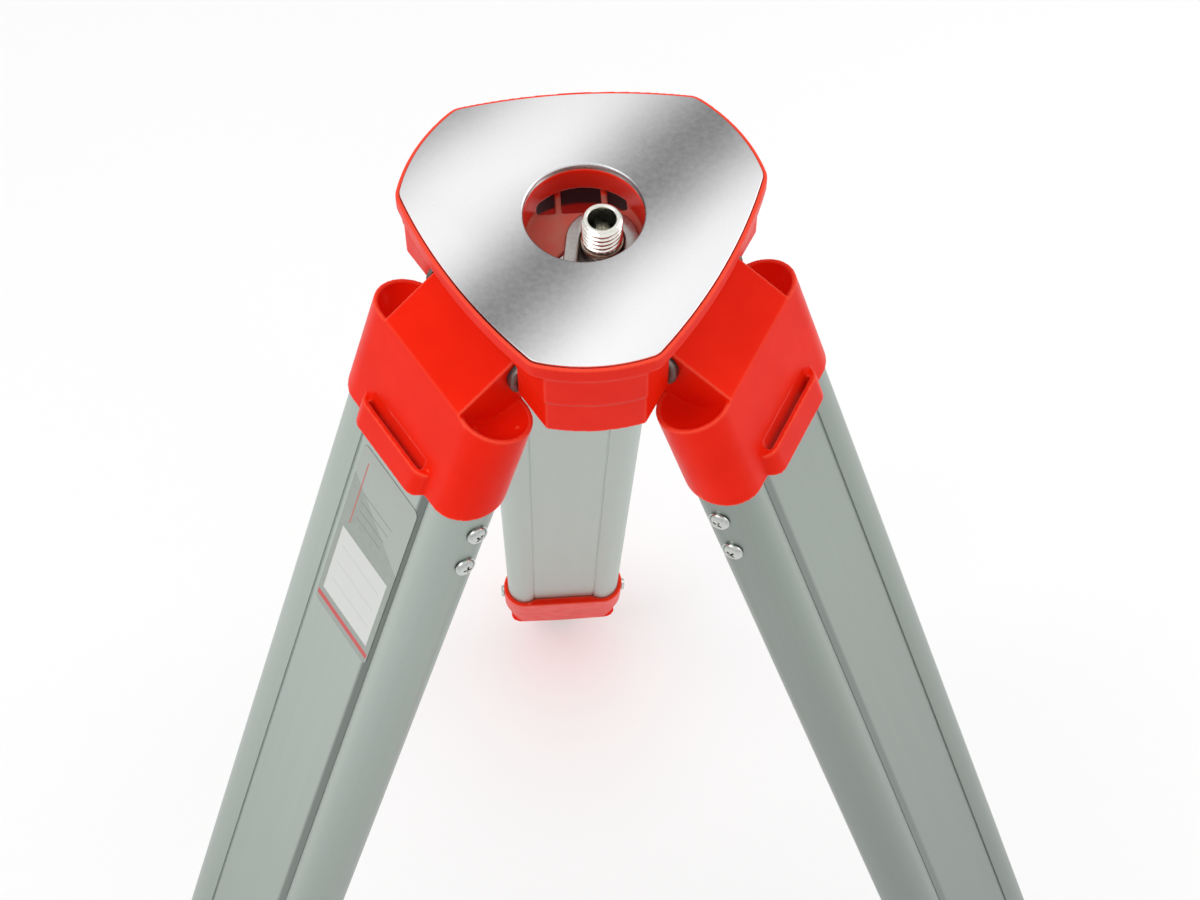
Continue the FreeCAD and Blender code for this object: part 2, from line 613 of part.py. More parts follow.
def leg_parts(tag, phi, label_here=False):
    P = leg_placement(phi)
    zero = D.plate_thick * 0

    # ---- cap casting
    bar = box(-D.bar_half, D.bar_half, 10.0, D.bar_out, -D.cap_bottom - 12.0, -D.bar_top)
    bar = fillet(bar, lambda e: abs(e.Vertexes[0].Z - e.Vertexes[1].Z) > 3 and e.CenterOfMass.y > VAL["bar_out"] - 0.5, D.bar_round)
    sleeve = fuse(bone(D.cap_rad, D.cap_rad, D.cap_top, D.cap_bottom + 12.0), bar)
    trim = box(-60.0, 60.0, -60.0, 60.0, -60.0, 0.0)
    place(trim, (0, 0, 0), None)
    trim.Placement = FreeCAD.Placement(
        FreeCAD.Placement(V3(0, 0, -VAL["cap_bottom"]), FreeCAD.Rotation(V3(1, 0, 0), -VAL["leg_spread"])).multVec(V3(-60, -60, -60)),
        FreeCAD.Rotation(V3(1, 0, 0), -VAL["leg_spread"]))
    sleeve = cut(sleeve, trim)
    r = VAL["barrel_rad"]
    cs, cn = VAL["crease_at"], VAL["cap_rad"]
    # roof plane: tangent from the crease to the barrel
    dy, dz = cn - HY, -cs - HZ
    dist = math.hypot(dy, dz)
    base_ang = math.atan2(dz, dy)
    ta = base_ang + math.acos(r / dist)
    ty, tz = HY + r * math.cos(ta), HZ + r * math.sin(ta)
    blk = new_body(fresh("knuckle"))
    sk = sketch(blk, "YZ_Plane", off=-D.knuckle_half)
    polygon(sk, [(ty, tz), (D.cap_rad, -D.crease_at), (D.cap_rad, -D.tube_start - 2), (-D.cap_rad, -D.tube_start - 2),
                 (-D.cap_rad, -D.cap_top), (HY - r, HZ)])
    pad(blk, sk, D.knuckle_half * 2)
    barrel = cyl(D.barrel_rad, D.knuckle_half * 2, (-D.knuckle_half, HY, HZ), "x")
    solid = fuse(sleeve, blk, barrel)
    spig = [cyl(D.lobe_rad - D.wall - 0.1, D.spigot_end - D.tube_start + 2, (sx, 0, -D.spigot_end)) for sx in (D.lobe_pitch, -D.lobe_pitch)]
    socket = bone(D.lobe_rad + 0.1, D.web_half + 0.1, D.tube_start, D.spigot_end + 10)
    cuts = [socket,
            cyl(D.bolt_rad + 1.55, 80.0, (-40.0, HY, HZ), "x"),
            box(-D.strap_half, D.strap_half, D.slot_in, D.slot_out, -D.cap_bottom - 13.0, -D.bar_top + 4.0)]
    for s in (1, -1):
        ball = doc.addObject("Part::Sphere", fresh("ball"))
        put(ball, "Radius", D.dish_rad)
        place(ball, (D.lobe_pitch * s, 0, -D.cap_top + 7.8))
        x0, x1 = (D.knuckle_half + zero, 50.0 + zero) if s > 0 else (-50.0 + zero, -D.knuckle_half)
        cuts.append(common(ball, box(x0, x1, -20.0 + zero, 20.0 + zero, -45.0 + zero, 0.0 + zero)))
    cap = cut(solid, *cuts)
    bores = []
    for s in (1, -1):
        for at in (D.screw_one, D.screw_two):
            bores.append(cyl(2.15, 16.0, (28.0 if s > 0 else -44.0, 0, -at), "x"))
    # tapped holes in the spigots
    cap = fuse(cap, cut(fuse(*spig), *bores))
    keep(cap, "leg_cap_" + tag, P)

    # ---- bushes in the knuckle
    bush = []
    for s in (1, -1):
        x0 = 12.0 if s > 0 else -26.8
        tube = cyl(D.bolt_rad + 1.5, 14.8, (x0, HY, HZ), "x")
        lip = cyl(7.6, 1.2, (26.85 if s > 0 else -28.05, HY, HZ), "x")
        way = cyl(D.bolt_rad + D.run_gap, 20.0, (11.0 if s > 0 else -30.0, HY, HZ), "x")
        if s > 0:
            tube = cyl(D.bolt_rad + 1.5, 14.85, (12.0, HY, HZ), "x")
        else:
            tube = cyl(D.bolt_rad + 1.5, 14.85, (-26.85, HY, HZ), "x")
        bush.append(cut(fuse(tube, lip), way))
    keep(fuse(*bush), "hinge_bushes_" + tag, P)

    # ---- upper extrusion
    outer = bone(D.lobe_rad, D.web_half, D.tube_start, D.tube_end)
    inner = bone(D.lobe_rad - D.wall, D.web_half - D.wall, D.tube_start - 1, D.tube_end + 1)
    tt = [inner]
    for sx in (1, -1):
        for sy in (1, -1):
            gx = D.groove_at * sx
            y0 = (D.web_half - D.groove_deep) if sy > 0 else -D.web_half - 1
            tt.append(box(gx - D.groove_wide / 2, gx + D.groove_wide / 2, y0, y0 + D.groove_deep + 1, -D.tube_end - 1, -D.tube_start + 1))
        for at in (D.screw_one, D.screw_two):
            tt.append(cyl(2.4, 8.0, (38.0 if sx > 0 else -46.0, 0, -at), "x"))
        for at in (1040.0, 1052.0):
            tt.append(cyl(2.2, 8.0, (38.0 if sx > 0 else -46.0, 0, -at), "x"))
    keep(cut(outer, *tt), "upper_leg_" + tag, P)

    # ---- cap screws: pan heads with a cross recess
    heads = []
    for sx in (1, -1):
        for at in (D.screw_one, D.screw_two):
            shank = cyl(2.1, 13.0, (30.5 if sx > 0 else -43.5, 0, -at), "x")
            h0 = cyl(4.5, 1.3, (43.4 if sx > 0 else -44.7, 0, -at), "x")
            h1 = cone(4.5 if sx > 0 else 2.9, 2.9 if sx > 0 else 4.5, 1.3, (44.7 if sx > 0 else -46.0, 0, -at), "x")
            x0, x1 = (44.6, 47.0) if sx > 0 else (-47.0, -44.6)
            r1 = box(x0, x1, -2.2, 2.2, -at - 0.45, -at + 0.45)
            r2 = box(x0, x1, -0.45, 0.45, -at - 2.2, -at + 2.2)
            heads.append(cut(fuse(shank, h0, h1), r1, r2))
    keep(fuse(*heads), "cap_screws_" + tag, P)

    # ---- clamp housing
    grip = bone(D.house_rad, D.house_rad, D.house_top, D.house_low)
    ears = [box(12.0 if s > 0 else -18.0, 18.0 if s > 0 else -12.0, 10.0, D.clamp_out, -D.clamp_at - 8.0, -D.clamp_at + 8.0) for s in (1, -1)]
    rounds = [cyl(8.0, 6.0, (12.0 if s > 0 else -18.0, D.clamp_out, -D.clamp_at), "x") for s in (1, -1)]
    seat_up = bone(D.lobe_rad + 0.1, D.web_half + 0.1, D.house_top - 5, D.tube_end + 0.1)
    lob = D.lobe_rad - D.wall - D.slide_gap
    webl = D.web_half - D.wall - D.slide_gap
    seat_low = bone(lob + 0.4, webl + 0.4, D.tube_end - 1, D.house_low + 5)
    more = [seat_up, seat_low, box(-9.2, 9.2, 7.0, 30.0, -D.clamp_at - 5.2, -D.clamp_at + 5.2),
            cyl(2.5, 40.0, (-20.0, D.clamp_out, -D.clamp_at), "x")]
    for sx in (1, -1):
        for at in (1040.0, 1052.0):
            more.append(cyl(2.2, 8.0, (42.0 if sx > 0 else -50.0, 0, -at), "x"))
    keep(cut(fuse(grip, *ears, *rounds), *more), "clamp_housing_" + tag, P)
    fix = []
    for sx in (1, -1):
        for at in (1040.0, 1052.0):
            fix.append(fuse(cyl(2.1, 6.0, (41.0 if sx > 0 else -47.0, 0, -at), "x"),
                            cone(4.2 if sx > 0 else 3.0, 3.0 if sx > 0 else 4.2, 2.2, (46.95 if sx > 0 else -49.15, 0, -at), "x")))
    keep(fuse(*fix), "clamp_housing_screws_" + tag, P)

    # ---- clamp pin, shoe and lever
    keep(fuse(cyl(2.45, 38.0, (-19.0, D.clamp_out, -D.clamp_at), "x"), cyl(4.0, 1.6, (-19.7, D.clamp_out, -D.clamp_at), "x")), "clamp_pin_" + tag, P)
    shoe = box(-9.0, 9.0, webl + 0.12, 17.6 + zero, -D.clamp_at - 5.0, -D.clamp_at + 5.0)
    keep(fillet(shoe, lambda e: abs(e.Vertexes[0].Y - e.Vertexes[1].Y) > 5, 1.5), "clamp_shoe_" + tag, P)
    lev = new_body("clamp_lever_" + tag)
    sk = sketch(lev, "YZ_Plane", off=-D.lever_half)
    polygon(sk, [(D.clamp_out + 1.5, -D.clamp_at), (D.clamp_out + 4.5, -D.clamp_at + 6.0), (D.clamp_out + 4.0, -D.clamp_at + 30.0),
                 (D.clamp_out + 5.5, -D.clamp_at + D.lever_long - 10), (D.clamp_out + 9.5, -D.clamp_at + D.lever_long),
                 (D.clamp_out + 6.5, -D.clamp_at + D.lever_long + 0.6), (D.clamp_out + 1.5, -D.clamp_at + D.lever_long - 9),
                 (D.clamp_out - 1.0, -D.clamp_at + 30.0), (D.clamp_out - 4.0, -D.clamp_at + 5.0)])
    pad(lev, sk, D.lever_half * 2)
    sk = sketch(lev, "YZ_Plane", off=-D.lever_half)
    circle(sk, 6.9, D.clamp_out - 0.3, -D.clamp_at)
    pad(lev, sk, D.lever_half * 2)
    sk = sketch(lev, "YZ_Plane", off=D.lever_half)
    circle(sk, 2.5, D.clamp_out + zero, -D.clamp_at)
    pocket(lev, sk, D.lever_half * 2)
    keep(lev, "clamp_lever_" + tag, P)

    # ---- lower extrusion and its guide
    low_o = bone(lob, webl, D.low_start, D.low_end)
    low_i = bone(lob - D.low_wall, webl - D.low_wall, D.low_start - 1, D.low_end + 1)
    riv = [cyl(2.2, 8.0, (36.0 if sx > 0 else -44.0, 0, -1112.0), "x") for sx in (1, -1)]
    keep(cut(low_o, low_i, *riv), "lower_leg_" + tag, P)
    top = bone(lob + 0.3, webl + 0.3, D.low_start - 8, D.low_start - 0.1)
    plug = bone(lob - D.low_wall - 0.1, webl - D.low_wall - 0.1, D.low_start - 1, D.low_start + 22)
    core = bone(lob - D.low_wall - 2.6, webl - D.low_wall - 2.6, D.low_start - 3, D.low_start + 30)
    keep(cut(fuse(top, plug), core), "leg_guide_" + tag, P)

    # ---- foot, rivets, spike
    cuff = bone(D.foot_rad, D.foot_rad, D.foot_top, 1131.0 + zero)
    seat_f = bone(lob + 0.1, webl + 0.1, D.foot_top - 3, D.low_end + 0.1)
    wedge_a = doc.addObject("Part::Box", fresh("wa"))
    lo = doc.addObject("Part::Wedge", fresh("wedge"))
    doc.removeObject(wedge_a.Name)
    lo.Xmin, lo.Xmax, lo.X2min, lo.X2max = -43.0, 43.0, -9.0, 9.0
    lo.Zmin, lo.Zmax, lo.Z2min, lo.Z2max = -12.6, 12.6, -9.0, 9.0
    lo.Ymin, lo.Ymax = 0.0, VAL["foot_low"] - 1131.0
    lo.setExpression("Ymax", "dims.foot_low - 1131")
    lo.Placement = FreeCAD.Placement(V3(0, 0, -1131.0), FreeCAD.Rotation(V3(1, 0, 0), -90))
    lo = fillet(lo, lambda e: e.Length > 24.0 and abs(e.Vertexes[0].Z - e.Vertexes[1].Z) > 20, 6.0)
    tread = box(-15.0, 15.0, 0.0 + zero, 44.0 + zero, -1143.0 + zero, -1137.0 + zero)
    tread = fillet(tread, lambda e: upright(e) and e.CenterOfMass.y > 40, 8.0)
    foot = cut(fuse(cuff, lo, tread), seat_f, cyl(5.05, 30.0, (0, 0, -D.foot_low - 1)),
               cyl(2.2, 8.0, (38.0, 0, -1112.0), "x"), cyl(2.2, 8.0, (-46.0, 0, -1112.0), "x"))
    keep(foot, "foot_" + tag, P)
    rivs = []
    for sx in (1, -1):
        rivs.append(fuse(cyl(2.1, 5.5, (38.0 if sx > 0 else -43.5, 0, -1112.0), "x"),
                         cone(3.8 if sx > 0 else 2.4, 2.4 if sx > 0 else 3.8, 1.6, (43.05 if sx > 0 else -44.65, 0, -1112.0), "x")))
    keep(fuse(*rivs), "foot_rivets_" + tag, P)
    sp = turned("foot_spike_" + tag, [(0, -D.foot_low + 27.0), (5.0, -D.foot_low + 27.0), (5.0, -D.foot_low - 0.1), (7.4, -D.foot_low - 0.1),
                                      (7.4, -D.foot_low - 3.0), (1.2, -D.spike_tip), (0, -D.spike_tip)])
    keep(sp, "foot_spike_" + tag, P)

    if label_here:
        label = box(-20.5, 20.5, D.web_half + 0.02, D.web_half + 0.22, -188.0 + zero, -90.0 + zero)
        keep(fillet(label, lambda e: 0.1 < abs(e.Vertexes[0].Y - e.Vertexes[1].Y) < 0.3, 3.0), "leg_label", P)


leg_parts("left", 210, label_here=True)
leg_parts("right", 330)
leg_parts("rear", 90)

# ================================================================ CHECK AND WRITE
doc.recompute()
for o in doc.Objects:
    bad = [s for s in o.State if s in ("Invalid", "Error")]
    if bad:
        raise RuntimeError("%s (%s) is %s" % (o.Label, o.Name, bad))
os.makedirs("parts", exist_ok=True)
for label, obj in PARTS:
    sh = obj.Shape
    if sh.isNull() or not sh.isValid() or not sh.Solids:
        raise RuntimeError("bad shape: " + label)
    print("%-28s solids %2d  volume %10.1f" % (label, len(sh.Solids), sh.Volume))
    sh.exportStep("parts/%s.step" % label)
print(len(PARTS), "parts")
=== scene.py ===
import json
import math
import random

import bmesh
import bpy
from mathutils import Euler, Matrix, Vector


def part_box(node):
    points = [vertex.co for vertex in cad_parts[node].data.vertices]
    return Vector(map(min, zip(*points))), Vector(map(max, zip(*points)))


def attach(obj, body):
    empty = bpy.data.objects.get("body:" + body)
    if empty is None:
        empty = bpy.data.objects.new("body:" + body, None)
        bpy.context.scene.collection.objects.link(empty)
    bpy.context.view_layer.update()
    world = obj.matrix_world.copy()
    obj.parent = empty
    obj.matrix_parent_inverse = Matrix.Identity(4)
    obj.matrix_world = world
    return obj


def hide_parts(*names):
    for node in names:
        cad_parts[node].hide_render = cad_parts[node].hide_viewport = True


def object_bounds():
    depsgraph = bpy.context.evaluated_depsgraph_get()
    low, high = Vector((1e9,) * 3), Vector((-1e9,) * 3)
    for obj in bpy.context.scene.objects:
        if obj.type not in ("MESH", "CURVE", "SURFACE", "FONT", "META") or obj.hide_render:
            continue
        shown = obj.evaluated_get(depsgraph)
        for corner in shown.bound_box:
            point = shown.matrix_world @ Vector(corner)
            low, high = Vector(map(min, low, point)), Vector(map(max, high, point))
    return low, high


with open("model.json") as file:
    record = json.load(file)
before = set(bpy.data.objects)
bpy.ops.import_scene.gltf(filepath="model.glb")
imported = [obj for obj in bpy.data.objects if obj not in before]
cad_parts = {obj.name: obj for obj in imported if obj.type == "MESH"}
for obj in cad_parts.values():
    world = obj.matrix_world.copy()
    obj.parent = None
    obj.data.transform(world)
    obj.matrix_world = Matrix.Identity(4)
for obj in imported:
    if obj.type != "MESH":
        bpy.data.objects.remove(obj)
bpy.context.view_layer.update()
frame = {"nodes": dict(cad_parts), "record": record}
CAD = frame["nodes"]
RECORD = frame["record"]
BODY = {n: b for b, ns in RECORD["behaviour"]["bodies"].items() for n in ns}
SLOT = {p["node"]: p["material_slot"] for p in RECORD["subparts"]}
random.seed(7)
MM = 0.001
LEGS = {"left": 210.0, "right": 330.0, "rear": 90.0}


def leg_matrix(phi):
    """Leg frame: x across the leg, y out of its outer face, z up along it."""
    turn = Matrix.Rotation(math.radians(phi - 90.0), 4, "Z")
    return turn @ Matrix.Translation((0.0, 0.0523, -0.024)) @ Matrix.Rotation(math.radians(20.0), 4, "X")


LEG_M = {t: leg_matrix(phi) for t, phi in LEGS.items()}

# ============================================================ materials


class Mat:
    def __init__(self, name, color, metallic=0.0, rough=0.4, **sockets):
        self.m = bpy.data.materials.new(name)
        self.m.use_nodes = True
        self.nt = self.m.node_tree
        self.b = self.nt.nodes["Principled BSDF"]
        self.b.inputs["Base Color"].default_value = (*color, 1)
        self.b.inputs["Metallic"].default_value = metallic
        self.b.inputs["Roughness"].default_value = rough
        for k, v in sockets.items():
            self.b.inputs[k.replace("_", " ")].default_value = v
        tc = self.nt.nodes.new("ShaderNodeTexCoord")
        self.co = tc.outputs["Object"]

    def node(self, kind, **props):
        n = self.nt.nodes.new(kind)
        for k, v in props.items():
            setattr(n, k, v)
        return n

    def link(self, a, b):
        self.nt.links.new(a, b)

    def into(self, socket, v):
        if isinstance(v, bpy.types.NodeSocket):
            self.link(v, socket)
        else:
            socket.default_value = v

    def local(self, matrix):
        """Coordinates in another frame, such as a leg's."""
        n = self.node("ShaderNodeMapping", vector_type="TEXTURE")
        n.inputs["Location"].default_value = matrix.to_translation()
        n.inputs["Rotation"].default_value = matrix.to_euler("XYZ")
        self.link(self.co, n.inputs["Vector"])
        return n.outputs["Vector"]

    def scaled(self, co, sx, sy, sz):
        n = self.node("ShaderNodeVectorMath", operation="MULTIPLY")
        self.link(co, n.inputs[0])
        n.inputs[1].default_value = (sx, sy, sz)
        return n.outputs[0]

    def noise(self, co, scale, detail=3.0, rough=0.55):
        n = self.node("ShaderNodeTexNoise")
        self.link(co, n.inputs["Vector"])
        n.inputs["Scale"].default_value = scale
        n.inputs["Detail"].default_value = detail
        n.inputs["Roughness"].default_value = rough
        return n.outputs["Fac"]

    def math(self, op, a, b=None, clamp=False):
        n = self.node("ShaderNodeMath", operation=op, use_clamp=clamp)
        self.into(n.inputs[0], a)
        if b is not None:
            self.into(n.inputs[1], b)
        return n.outputs[0]

    def remap(self, v, a, b, c, d, smooth=False):
        n = self.node("ShaderNodeMapRange")
        if smooth:
            n.interpolation_type = "SMOOTHSTEP"
        self.link(v, n.inputs["Value"])
        for k, x in zip(("From Min", "From Max", "To Min", "To Max"), (a, b, c, d)):
            n.inputs[k].default_value = x
        return n.outputs["Result"]

    def mix(self, f, a, b):
        n = self.node("ShaderNodeMix", data_type="RGBA")
        self.into(n.inputs["Factor"], f)
        for s, v in ((n.inputs[6], a), (n.inputs[7], b)):
            self.into(s, (*v, 1) if isinstance(v, tuple) else v)
        return n.outputs[2]

    def split(self, co):
        n = self.node("ShaderNodeSeparateXYZ")
        self.link(co, n.inputs[0])
        return n.outputs

    def bump(self, height, distance, strength=1.0, after=None):
        n = self.node("ShaderNodeBump")
        self.link(height, n.inputs["Height"])
        n.inputs["Distance"].default_value = distance
        n.inputs["Strength"].default_value = strength
        if after is not None:
            self.link(after, n.inputs["Normal"])
        self.link(n.outputs["Normal"], self.b.inputs["Normal"])
        return n.outputs["Normal"]

    def color(self, s):
        self.link(s, self.b.inputs["Base Color"])

    def rough(self, s):
        self.link(s, self.b.inputs["Roughness"])

    def edge(self, lo=0.515, hi=0.56):
        g = self.node("ShaderNodeNewGeometry")
        return self.remap(g.outputs["Pointiness"], lo, hi, 0.0, 1.0)


def red_enamel(name, head_painted_sheen_shade_and_seam=False):
    m = Mat(name, (0.80, 0.009, 0.003), 0.0, 0.34, Coat_Weight=0.0, Coat_Roughness=0.14)
    m.b.inputs["Specular IOR Level"].default_value = 0.11
    m.b.inputs["Specular Tint"].default_value = (1.0, 0.26, 0.14, 1.0)
    big = m.noise(m.co, 34.0, 3.0)
    c = m.mix(m.remap(big, 0.3, 0.7, 0.0, 1.0), (0.760, 0.0120, 0.0026), (0.840, 0.0165, 0.0038))
    # painted highlight: convex edges are tinted pale orange as if catching the light
    c = m.mix(m.math("MULTIPLY", m.edge(0.503, 0.535), 0.55), c, (0.93, 0.115, 0.065))
    rough = m.remap(m.noise(m.co, 120.0, 4.0), 0.3, 0.7, 0.30, 0.40)
    if head_painted_sheen_shade_and_seam:
        x, y, z = m.split(m.co)
        r2 = m.math("ADD", m.math("MULTIPLY", x, x), m.math("MULTIPLY", y, y))
        inside = m.remap(r2, 0.0232 ** 2, 0.0236 ** 2, 1.0, 0.0)
        # painted sheen: the deck down in the bore, 16 to 19 mm deep, is paled towards pinkish grey in cloudy patches
        low = m.remap(z, -0.0160, -0.0172, 0.0, 1.0)
        top = m.remap(z, -0.0060, -0.0045, 1.0, 0.0)
        under = m.remap(z, -0.0188, -0.0200, 1.0, 0.0)
        cloud = m.remap(m.noise(m.co, 160.0, 4.0), 0.25, 0.75, 0.55, 1.0)
        f = m.math("MULTIPLY", m.math("MULTIPLY", inside, low), m.math("MULTIPLY", under, cloud))
        c = m.mix(m.math("MULTIPLY", f, 0.95), c, (0.46, 0.20, 0.155))
        # painted shade: the bore wall and deck deeper than 6 mm are darkened towards deep red
        bore_painted_shade = m.math("MULTIPLY", m.math("MULTIPLY", inside, top), 0.30)
        c = m.mix(bore_painted_shade, c, (0.36, 0.045, 0.03))
        # the hollow behind the window is in deep shade
        hid = m.math("MULTIPLY", m.remap(r2, 0.0262 ** 2, 0.0268 ** 2, 0.0, 1.0), m.remap(r2, 0.0320 ** 2, 0.0328 ** 2, 1.0, 0.0))
        hid = m.math("MULTIPLY", hid, m.math("MULTIPLY", m.remap(z, -0.0032, -0.0040, 0.0, 1.0), m.remap(z, -0.0330, -0.0350, 1.0, 0.0)))
        hid = m.math("MULTIPLY", hid, m.remap(y, 0.012, 0.020, 0.0, 1.0))
        c = m.mix(m.math("MULTIPLY", hid, 0.93), c, (0.010, 0.012, 0.018))
        # parting line of the two mould halves, round the outside of the hub
        off = m.math("ABSOLUTE", m.math("ADD", z, 0.02405))
        out = m.remap(r2, 0.0455 ** 2, 0.0470 ** 2, 0.0, 1.0)
        part = m.math("MULTIPLY", m.remap(off, 0.00010, 0.00034, 1.0, 0.0, smooth=True), out)
        c = m.mix(m.math("MULTIPLY", part, 0.75), c, (0.13, 0.002, 0.001))
    m.color(c)
    m.rough(rough)
    peel = m.noise(m.co, 520.0, 2.0)
    n1 = m.bump(peel, 0.00005, 0.22)
    if head_painted_sheen_shade_and_seam:
        m.bump(m.math("MULTIPLY", part, -1.0), 0.00005, 0.5, after=n1)
    return m.m


def plate_metal():
    m = Mat("plate_aluminium", (0.8, 0.8, 0.81), 1.0, 0.3)
    x, y, z = m.split(m.co)
    # painted reflection: light and dark bands along x - y are painted into the metal's colour and stay put when the
    # view changes
    d = m.math("SUBTRACT", x, y)
    wob = m.remap(m.noise(m.co, 14.0, 2.0), 0.3, 0.7, -0.004, 0.004)
    d = m.math("ADD", d, wob)
    painted_reflection_wave = m.math("COSINE", m.math("MULTIPLY", m.math("SUBTRACT", d, 0.010), 2 * math.pi / 0.130))
    band = m.math("POWER", m.remap(painted_reflection_wave, -1.0, 1.0, 0.0, 1.0), 1.25)
    grain = m.noise(m.co, 3200.0, 2.0, 0.7)
    cloud = m.noise(m.co, 420.0, 3.0, 0.6)
    c = m.mix(band, (0.99, 0.99, 1.0), (0.225, 0.222, 0.228))
    g = m.remap(grain, 0.3, 0.7, 0.0, 0.16)
    c = m.mix(g, c, (0.52, 0.52, 0.53))
    g2 = m.remap(cloud, 0.35, 0.65, 0.0, 0.08)
    c = m.mix(g2, c, (0.98, 0.98, 0.99))
    m.color(c)
    m.rough(m.remap(m.noise(m.scaled(m.co, 1, 1, 1), 900.0, 3.0), 0.3, 0.7, 0.26, 0.36))
    # turned lay left by the facing cut, very fine
    r = m.math("SQRT", m.math("ADD", m.math("MULTIPLY", x, x), m.math("MULTIPLY", y, y)))
    lay = m.math("SINE", m.math("MULTIPLY", r, 2 * math.pi / 0.00045))
    n1 = m.bump(lay, 0.0000012, 0.25)
    m.bump(grain, 0.000008, 0.35, after=n1)
    return m.m


def anodised(name, matrix, painted_light_level=1.0, painted_groove_shade=0.4, inner=0.0):
    m = Mat(name, (0.42, 0.45, 0.43), 0.92, 0.38)
    co = m.local(matrix)
    streak = m.noise(m.scaled(co, 1, 1, 0.006), 1500.0, 3.0, 0.6)
    broad = m.noise(m.scaled(co, 1, 1, 0.02), 160.0, 3.0)
    mott = m.noise(co, 700.0, 3.0)
    # painted light: each leg's whole colour is scaled by its own light level, a lit or shaded copy of one finish
    a, b = tuple(painted_light_level * v for v in (0.376, 0.424, 0.390)), tuple(painted_light_level * v for v in (0.408, 0.458, 0.422))
    c = m.mix(m.remap(streak, 0.25, 0.75, 0.0, 1.0), a, b)
    c = m.mix(m.remap(broad, 0.35, 0.65, 0.0, 0.22), c, tuple(painted_light_level * v for v in (0.432, 0.484, 0.448)))
    # painted shade: the web is darkened where it runs to the groove of the inner lobe, and that lobe is darkened as
    # it falls away; further down, the whole leg is darkened as a painted light falloff
    if inner:
        x, y, z = m.split(co)
        u = m.math("MULTIPLY", x, inner)
        painted_groove_shade_mask = m.math("MULTIPLY", m.remap(u, 0.0172, 0.0198, 0.0, painted_groove_shade, smooth=True), m.remap(u, 0.0224, 0.0236, 1.0, 0.0))
        c = m.mix(painted_groove_shade_mask, c, (0.085, 0.10, 0.09))
        # painted shade: the inner lobe darkens as it curves away
        c = m.mix(m.remap(u, 0.0290, 0.0434, 0.0, 0.34), c, (0.16, 0.18, 0.17))
        # painted light falloff: the leg darkens further down its length
        c = m.mix(m.remap(z, -0.15, -0.45, 0.0, 0.42, smooth=False), c, tuple(0.48 * v for v in a))
    c = m.mix(m.remap(mott, 0.55, 0.8, 0.0, 0.12), c, (0.33, 0.355, 0.335))
    m.color(c)
    m.rough(m.remap(streak, 0.25, 0.75, 0.36, 0.42))
    n1 = m.bump(streak, 0.00001, 0.12)
    m.bump(m.noise(co, 2600.0, 2.0), 0.000006, 0.3, after=n1)
    return m.m


def plain_metal(name, c0, c1, rough, spread=0.06, scale=700.0, bump=0.00001):
    m = Mat(name, c0, 1.0, rough)
    m.color(m.mix(m.remap(m.noise(m.co, scale, 4.0), 0.3, 0.7, 0.0, 1.0), c0, c1))
    m.rough(m.remap(m.noise(m.co, scale * 0.5, 3.0), 0.3, 0.7, rough - spread, rough + spread))
    m.bump(m.noise(m.co, scale * 3, 2.0), bump, 0.4)
    return m.m


def plastic(name, c0, c1, rough=0.45):
    m = Mat(name, c0, 0.0, rough)
    m.color(m.mix(m.remap(m.noise(m.co, 150.0, 3.0), 0.3, 0.7, 0.0, 1.0), c0, c1))
    m.rough(m.remap(m.noise(m.co, 400.0, 3.0), 0.3, 0.7, rough - 0.08, rough + 0.08))
    m.bump(m.noise(m.co, 2200.0, 2.0), 0.00003, 0.5)
    return m.m


def label_film():
    m = Mat("label_film", (0.5, 0.52, 0.5), 0.0, 0.35, Coat_Weight=0.3, Coat_Roughness=0.1)
    co = m.local(LEG_M["left"])
    x, y, z = m.split(co)
    s = m.math("MULTIPLY", z, -1.0)

    def band(v, a, b, soft=0.00015):
        up = m.remap(v, a - soft, a + soft, 0.0, 1.0)
        dn = m.remap(v, b - soft, b + soft, 1.0, 0.0)
        return m.math("MULTIPLY", up, dn)

    tint = m.noise(co, 260.0, 3.0)
    c = m.mix(m.remap(tint, 0.3, 0.7, 0.0, 1.0), (0.245, 0.275, 0.245), (0.285, 0.315, 0.285))
    # darker field towards one side, as printed films often have
    slope = m.math("ADD", m.math("MULTIPLY", x, 0.55), s)
    c = m.mix(m.remap(slope, 0.118, 0.1186, 0.55, 0.0), c, (0.40, 0.435, 0.40))
    panel = m.math("MULTIPLY", band(x, -0.0175, 0.0175), band(s, 0.1385, 0.1785))
    c = m.mix(panel, c, (0.60, 0.61, 0.59))
    for k in range(3):
        rule = m.math("MULTIPLY", band(x, -0.0145, 0.0145), band(s, 0.1475 + 0.0105 * k, 0.1478 + 0.0105 * k, 0.0001))
        c = m.mix(m.math("MULTIPLY", rule, 0.6), c, (0.30, 0.32, 0.31))
    for k in range(4):
        rule = m.math("MULTIPLY", band(x, -0.0100 + 0.0012 * k, 0.0115), band(s, 0.1120 + 0.0048 * k, 0.1126 + 0.0048 * k, 0.0002))
        c = m.mix(m.math("MULTIPLY", rule, 0.55), c, (0.10, 0.11, 0.105))
    stripe = m.math("MULTIPLY", band(x, -0.0198, 0.0198), band(s, 0.1818, 0.1846))
    c = m.mix(stripe, c, (0.52, 0.03, 0.03))
    thin = m.math("MULTIPLY", band(x, 0.0140, 0.0148), band(s, 0.0965, 0.1335))
    c = m.mix(m.math("MULTIPLY", thin, 0.8), c, (0.48, 0.05, 0.045))
    m.color(c)
    m.rough(m.remap(tint, 0.3, 0.7, 0.3, 0.42))
    m.bump(m.noise(co, 900.0, 2.0), 0.00002, 0.3)
    return m.m


